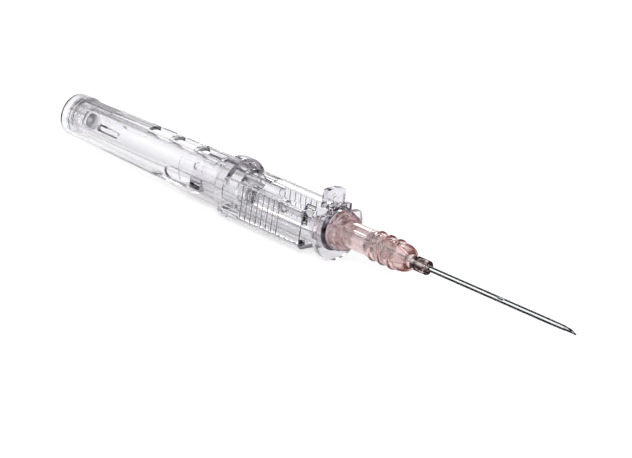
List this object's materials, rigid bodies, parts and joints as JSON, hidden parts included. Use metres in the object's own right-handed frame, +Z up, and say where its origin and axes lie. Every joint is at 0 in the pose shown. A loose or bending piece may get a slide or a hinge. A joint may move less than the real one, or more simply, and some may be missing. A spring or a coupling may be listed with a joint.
{
  "type": "iv cannula",
  "caption": "Over-the-needle peripheral cannula: clear barrel with ribbed grip, sliding needle guard with push-off fin, pink hub, catheter and bevelled steel needle.",
  "frame": {"origin": "on the table, under the middle of the overall length and on the middle plane", "axes": "+X along the needle, towards its tip; +Z up, on the side of the push-off fin; +Y to the left when looking along +X"},
  "size_m": [0.1342, 0.012, 0.0136],
  "materials": {
    "clear_polycarbonate": "clear, moulded, polished",
    "pink_polypropylene": "translucent dusty pink, moulded",
    "stainless_steel": "drawn and electropolished",
    "clear_fluoropolymer": "clear, extruded",
    "silicone": "translucent, soft",
    "porous_polyethylene": "sintered, porous"
  },
  "bodies": {
    "housing": {"needle_housing": "clear_polycarbonate", "needle_support": "clear_polycarbonate", "flash_plug": "clear_polycarbonate", "vent_filter": "porous_polyethylene", "needle": "stainless_steel"},
    "guard": {"needle_guard": "clear_polycarbonate", "guard_nose": "clear_polycarbonate"},
    "catheter": {"catheter_hub": "pink_polypropylene", "catheter_tube": "clear_fluoropolymer", "catheter_wedge": "stainless_steel", "valve_septum": "silicone"},
    "actuator": {"valve_actuator": "clear_polycarbonate"}
  },
  "joints": [
    {"name": "guard_slide", "type": "slide", "parent": "housing", "child": "guard", "axis": [1, 0, 0], "range_m": [0, 0.052]},
    {"name": "catheter_slide", "type": "slide", "parent": "guard", "child": "catheter", "axis": [1, 0, 0], "range_m": [0, 0.06]},
    {"name": "actuator_slide", "type": "slide", "parent": "catheter", "child": "actuator", "axis": [1, 0, 0], "range_m": [0, 0.0019], "deforming": ["valve_septum"]}
  ]
}
